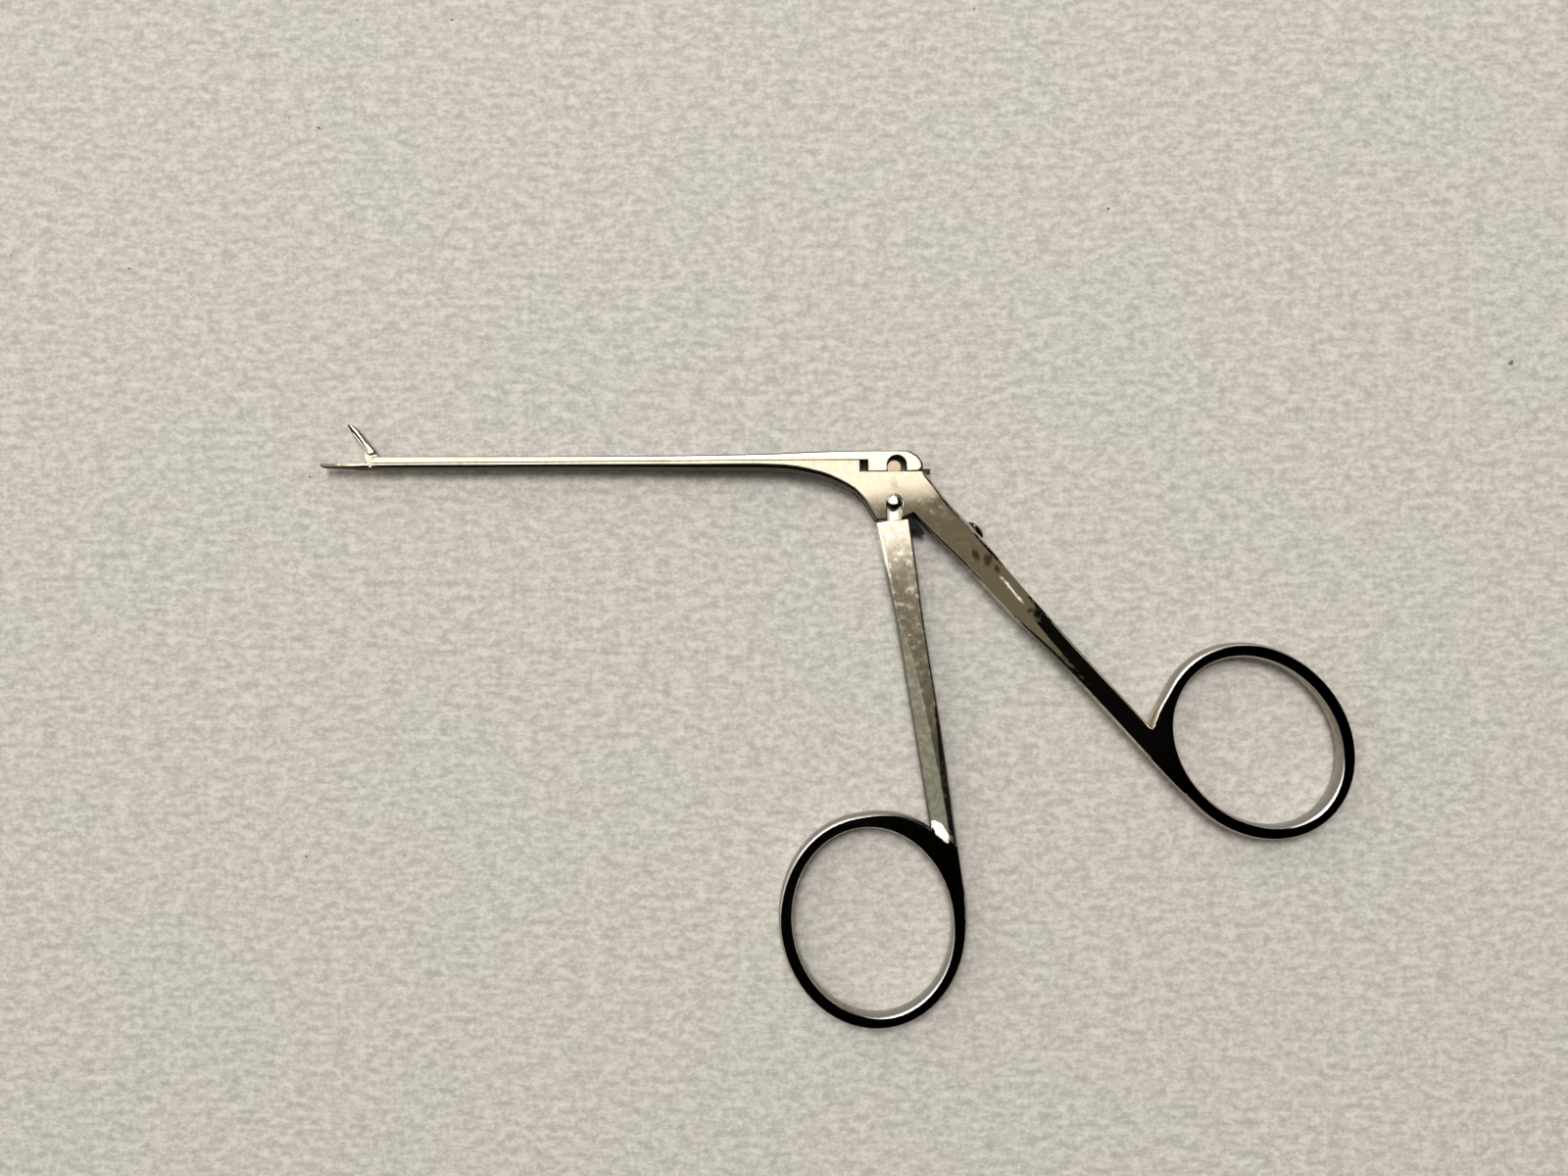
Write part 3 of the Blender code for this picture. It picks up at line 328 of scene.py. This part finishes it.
def shading(name, ridge_end):
    """A node group that joins the facets of a solid and shades it smooth, but keeps its corners.

    The borders of the flat tops are kept, and so are the shallow ridges of the handles down to
    ridge_end along Y.
    """
    group = bpy.data.node_groups.new(name, "GeometryNodeTree")
    for way in ("INPUT", "OUTPUT"):
        group.interface.new_socket("Geometry", in_out=way, socket_type="NodeSocketGeometry")
    joined = node(group, "GeometryNodeMergeByDistance")
    put(group, joined.inputs["Geometry"], node(group, "NodeGroupInput").outputs[0])
    joined.inputs["Distance"].default_value = JOIN_DISTANCE
    angle = node(group, "GeometryNodeInputMeshEdgeAngle").outputs["Unsigned Angle"]
    facing = dot(group, node(group, "GeometryNodeInputNormal").outputs["Normal"], UP)
    steep = maths(group, "ABSOLUTE", facing, 0.0)
    # On an edge this is 0, 0.5 or 1, for none, one or both of its faces being flat tops
    tops = node(group, "GeometryNodeFieldOnDomain", domain="FACE", data_type="FLOAT")
    put(group, tops.inputs[0], maths(group, "GREATER_THAN", steep, TOP_FACING))
    along = dot(group, node(group, "GeometryNodeInputPosition").outputs[0], NORTH)
    ridge = product(
        group,
        maths(group, "GREATER_THAN", angle, math.radians(RIDGE_ANGLES[0])),
        maths(group, "LESS_THAN", angle, math.radians(RIDGE_ANGLES[1])),
        maths(group, "GREATER_THAN", tops.outputs[0], 0.75),
        maths(group, "GREATER_THAN", along, ridge_end),
    )
    border = product(
        group,
        maths(group, "GREATER_THAN", angle, math.radians(BORDER_ANGLE)),
        maths(group, "GREATER_THAN", tops.outputs[0], 0.25),
        maths(group, "LESS_THAN", tops.outputs[0], 0.75),
    )
    corner = maths(group, "GREATER_THAN", angle, math.radians(CORNER_ANGLE))
    kept = maths(group, "MAXIMUM", corner, maths(group, "MAXIMUM", border, ridge))
    shaded = node(group, "GeometryNodeSetMeshNormal")
    put(group, shaded.inputs["Mesh"], joined.outputs[0])
    shaded.inputs["Remove Custom"].default_value = True
    put(group, shaded.inputs["Edge Sharpness"], kept)
    shaded.inputs["Face Sharpness"].default_value = False
    put(group, node(group, "NodeGroupOutput").inputs[0], shaded.outputs[0])
    return group


def material_named(name):
    """A material with its nodes and its shader."""
    material = bpy.data.materials.new(name)
    material.use_nodes = True
    return material, material.node_tree, material.node_tree.nodes["Principled BSDF"]


def patch(tree, place, ragged, centre, turn, size, soft, below):
    """The share of a soft ellipse over a piece, with a ragged rim, up to a height."""
    centre = (centre[0] / MM_PER_METRE, centre[1] / MM_PER_METRE, 0.0)
    size = (size[0] / MM_PER_METRE, size[1] / MM_PER_METRE, 1.0)
    reach = node(tree, "ShaderNodeVectorMath", operation="LENGTH")
    put(tree, reach.inputs[0], placed(tree, place, centre, turn, size))
    rim = maths(tree, "ADD", reach.outputs["Value"], ragged)
    share = rise(tree, rim, 1.0 + soft, 1.0 - soft)
    if below:
        height = dot(tree, place, UP)
        share = product(tree, share, rise(tree, height, below + MARK_HEIGHT_FADE, below))
    return share


def leant(tree, normal, lean, share):
    """A normal that leans by a share."""
    tilt = node(tree, "ShaderNodeVectorMath", operation="SCALE")
    tilt.inputs[0].default_value = (*lean, 0.0)
    put(tree, tilt.inputs["Scale"], share)
    total = node(tree, "ShaderNodeVectorMath", operation="ADD")
    put(tree, total.inputs[0], normal)
    put(tree, total.inputs[1], tilt.outputs[0])
    return normalized(tree, total.outputs[0])


def steel(
    name, colour, stain, grain, gloss=0.03, dull=0.08, side=(0.08, 0.50), mottle=0.08,
    marks=(), rings=(), outline=None,
):
    """Worn steel: brushed along the grain, faintly wavy and blotched, dull on its sides and
    painted dark there as shade.

    Gloss and dull are its least and greatest roughness, and side has the tones of the shade
    painted on its walls at the top and at the foot, the foot's tone standing in for the floor's
    reflection.
    The rings are painted black on top as a dark reflection and made flat there, with a painted
    highlight on the shoulder. An outline paints shade on the roundings too, and fades in between
    its two places along X.
    """
    material, tree, shader = material_named(name)
    place = node(tree, "ShaderNodeTexCoord").outputs["Object"]
    surface = node(tree, "ShaderNodeNewGeometry").outputs["Normal"]
    facing = dot(tree, surface, UP)
    up = maths(tree, "ABSOLUTE", facing, 0.0)
    sunward = dot(tree, surface, SHOULDER_WAY)
    brushed = streaks(tree, place, grain, BRUSH_SIZE, *BRUSH_NOISE)
    blotch = noise(tree, place, *BLOTCH_NOISE)
    cloud = noise(tree, place, *CLOUD_NOISE)
    tint = mixed(tree, rise(tree, blotch, *STAIN_RISE), colour, stain)
    mottling = (1.0 - CLOUD_DARKER * mottle, 1.0 + CLOUD_LIGHTER * mottle)
    mottled = rise(tree, cloud, *CLOUD_RISE, *mottling)
    tint = toned(tree, tint, product(tree, rise(tree, brushed, *BRUSH_TONES), mottled))
    rough = rise(tree, maths(tree, "MAXIMUM", blotch, cloud), *DULL_RISE, gloss, dull)
    rough = maths(tree, "ADD", rough, rise(tree, brushed, *BRUSH_DULLING))
    waves = bumped(tree, noise(tree, place, *WAVE_NOISE), WAVE_DEPTH)
    normal = bumped(tree, brushed, BRUSH_DEPTH, waves)
    level = node(tree, "ShaderNodeCombineXYZ")
    put(tree, level.inputs["Z"], facing)
    on_top = rise(tree, up, *CROWN_FACING)
    # Painted shade on the walls, from the top tone of side down to its foot tone, a painted
    # reflection of the floor
    painted_wall_shade = rise(tree, dot(tree, place, UP), *SIDE_HEIGHTS, *side)
    for centre, radius in rings:
        inside = patch(tree, place, 0.0, centre, 0.0, (radius, radius), RING_FADE, 0.0)
        # Painted highlight on the ring's shoulder that faces the window
        shoulder = rise(tree, sunward, *SHOULDER_FACING)
        tint = mixed(tree, product(tree, inside, shoulder), tint, PAINTED_HIGHLIGHT)
        # Painted black on the ring's top as a dark reflection, where no painted highlight is, with
        # the normals made flat
        painted_dark_crown = product(tree, inside, on_top, rise(tree, shoulder, 1.0, 0.0))
        tint = mixed(tree, painted_dark_crown, tint, SOOT_AND_PAINTED_SHADE)
        normal = mixed_vector(tree, painted_dark_crown, normal, level.outputs[0])
        # Painted shade on the ring's walls, darker the steeper they stand
        wall = rise(tree, up, *RING_WALL_FACING, *RING_WALL_TONES)
        painted_wall_shade = mixed_value(tree, inside, painted_wall_shade, wall)
    flank = rise(tree, up, *FLANK_FACING)
    # The slide's outline: painted shade on the rims of its roundings
    if outline:
        along = dot(tree, place, EAST)
        rim = product(tree, rise(tree, up, *RIM_FACING), rise(tree, along, *outline))
        flank = maths(tree, "MAXIMUM", flank, rim)
    # The walls, and the slide's outline, get the painted shade
    tint = mixed(tree, flank, tint, toned(tree, tint, painted_wall_shade))
    rough = mixed_value(tree, flank, rough, FLANK_ROUGHNESS)
    ragged = rise(tree, cloud, *RAGGED_RIM)
    for centre, turn, size, soft, below, paint, roughness, lean in marks:
        rim = product(tree, ragged, soft * 2)
        share = patch(tree, place, rim, centre, turn, size, soft, below)
        tint = mixed(tree, share, tint, paint)
        rough = mixed_value(tree, share, rough, roughness)
        if lean == LEVEL:
            share = product(tree, share, on_top)
            normal = mixed_vector(tree, share, normal, level.outputs[0])
        elif lean:
            normal = leant(tree, normal, lean, share)
    put(tree, shader.inputs["Base Color"], tint)
    put(tree, shader.inputs["Roughness"], rough)
    put(tree, shader.inputs["Normal"], normal)
    shader.inputs["Metallic"].default_value = 1.0
    return material


def dress(name, material, ridge_end=NO_RIDGES):
    """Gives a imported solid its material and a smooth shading."""
    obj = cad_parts[name]
    obj.data.materials.clear()
    obj.data.materials.append(material)
    smooth = obj.modifiers.new("smooth", "NODES")
    smooth.node_group = shading(name + "_shading", ridge_end)
    weighted = obj.modifiers.new("weighted", "WEIGHTED_NORMAL")
    weighted.mode = "FACE_AREA"
    weighted.keep_sharp = True


def cloth_floor():
    """A flat cloth of pale fibres and felt, with a faint tinge and a few dark specks."""
    half = FLOOR_SIZE / 2
    corners = [(-half, -half, 0.0), (half, -half, 0.0), (half, half, 0.0), (-half, half, 0.0)]
    mesh = bpy.data.meshes.new("floor")
    mesh.from_pydata(corners, [], [(0, 1, 2, 3)])
    floor = bpy.data.objects.new("floor", mesh)
    bpy.context.scene.collection.objects.link(floor)
    material, tree, shader = material_named("floor")
    place = node(tree, "ShaderNodeTexCoord").outputs["Object"]
    fibre = streaks(tree, place, 0.0, FIBRE_SIZE, *FIBRE_NOISE)
    felt = noise(tree, place, *FELT_NOISE)
    weave = product(tree, maths(tree, "ADD", fibre, felt), 0.5)
    cloth = mixed(tree, rise(tree, weave, *WEAVE_RISE), FLOOR_SHADE, FLOOR_COLOUR)
    tinge = rise(tree, noise(tree, place, *TINGE_NOISE), *TINGE_RISE)
    cloth = mixed(tree, tinge, cloth, FLOOR_TINGE, "MULTIPLY")
    speck = rise(tree, noise(tree, place, *SPECK_NOISE), *SPECK_RISE)
    cloth = mixed(tree, speck, cloth, FLOOR_SPECK)
    put(tree, shader.inputs["Base Color"], cloth)
    put(tree, shader.inputs["Normal"], bumped(tree, felt, FELT_DEPTH))
    shader.inputs["Roughness"].default_value = FLOOR_ROUGHNESS
    mesh.materials.append(material)
    return floor


def studio():
    """A room that is bright on one side, brown and black overhead, and pale at the horizon."""
    world = bpy.data.worlds.new("studio")
    bpy.context.scene.world = world
    world.use_nodes = True
    tree = world.node_tree
    way = node(tree, "ShaderNodeTexCoord").outputs["Generated"]
    height = dot(tree, way, UP)
    left = dot(tree, way, WEST)
    behind = dot(tree, way, NORTH)
    across = dot(tree, way, BRIGHT_SIDE)
    beside = dot(tree, way, BRIGHT_EDGE)
    room = product(tree, rise(tree, across, *BROWN_ACROSS), rise(tree, left, *BROWN_LEFT))
    room = mixed(tree, room, ROOM_DARK, ROOM_BROWN)
    grey = product(tree, rise(tree, left, *GREY_LEFT), rise(tree, behind, *GREY_BEHIND))
    room = mixed(tree, grey, room, ROOM_GREY)
    lit = product(
        tree,
        rise(tree, across, *LIT_ACROSS),
        rise(tree, beside, *LIT_BESIDE),
        rise(tree, height, *LIT_HEIGHT),
    )
    room = mixed(tree, lit, room, ROOM_LIT)
    window = rise(tree, dot(tree, way, WINDOW_WAY), *WINDOW_RISE)
    room = mixed(tree, window, room, ROOM_WINDOW)
    room = mixed(tree, rise(tree, height, *HORIZON_HEIGHT), room, ROOM_HORIZON)
    put(tree, tree.nodes["Background"].inputs["Color"], room)


def key_lamp():
    """A square lamp that points at the forceps."""
    data = bpy.data.lights.new("key", "AREA")
    data.shape = "SQUARE"
    data.size = KEY_SIZE
    data.energy = KEY_POWER
    data.color = KEY_COLOUR
    light = bpy.data.objects.new("key", data)
    bpy.context.scene.collection.objects.link(light)
    light.location = KEY_PLACE
    light.rotation_euler = (-Vector(KEY_PLACE)).to_track_quat("-Z", "Y").to_euler()


def main_camera():
    """The camera of the photograph."""
    data = bpy.data.cameras.new("camera")
    data.lens = CAMERA_LENS
    data.sensor_width = CAMERA_SENSOR
    data.clip_start, data.clip_end = CAMERA_CLIP
    camera = bpy.data.objects.new("camera", data)
    bpy.context.scene.collection.objects.link(camera)
    camera.location = CAMERA_PLACE
    camera.rotation_euler = (0.0, 0.0, math.radians(CAMERA_ROLL))
    bpy.context.scene.camera = camera


body_look = steel("body_steel", WARM, BROWN, HANDLE_WAY, marks=BODY_MARKS, rings=(THUMB_RING,))
slide_look = steel(
    "slide_steel", PALE, WARM, SLIDE_WAY, side=(0.05, 0.15),
    marks=SLIDE_PAINTED_SHADE, outline=SLIDE_OUTLINE,
)
lever_look = steel(
    "lever_steel", LEVER, LEVER_STAIN, LEVER_WAY, gloss=0.14, dull=0.26, side=(0.04, 0.08),
    mottle=0.18, marks=LEVER_MARKS, rings=(FINGER_RING,),
)
jaw_look = steel("jaw_steel", WARM, BROWN, JAW_WAY, marks=JAW_PAINTED_SHADE_AND_HIGHLIGHT)
pivot_look = steel(
    "pin_steel", PIVOT_PAINTED_REFLECTION, SOOT_AND_PAINTED_SHADE, PIN_WAY, gloss=0.04, dull=0.06, side=(0.8, 0.8), marks=PIN_PAINTED_HIGHLIGHT
)
screw_look = steel(
    "screw_steel", SCREW, SOOT_AND_PAINTED_SHADE, SCREW_WAY, gloss=0.05, dull=0.12, side=(0.4, 0.4),
    marks=SCREW_PAINTED_GLINT,
)
dress("fixed_handle", body_look, HANDLE_RIDGE_END)
dress("slide_bar", slide_look)
dress("finger_lever", lever_look, LEVER_RIDGE_END)
dress("upper_jaw", jaw_look)
dress("lever_pivot_pin", pivot_look)
dress("jaw_pivot_pin", steel("jaw_pin_steel", PIN, BROWN, PIN_WAY))
dress("jaw_drive_pin", steel("drive_pin_steel", PIN, BROWN, PIN_WAY))
dress("handle_screw", screw_look)

floor = cloth_floor()

studio()
key_lamp()
main_camera()
bpy.context.scene.view_settings.view_transform = "Standard"
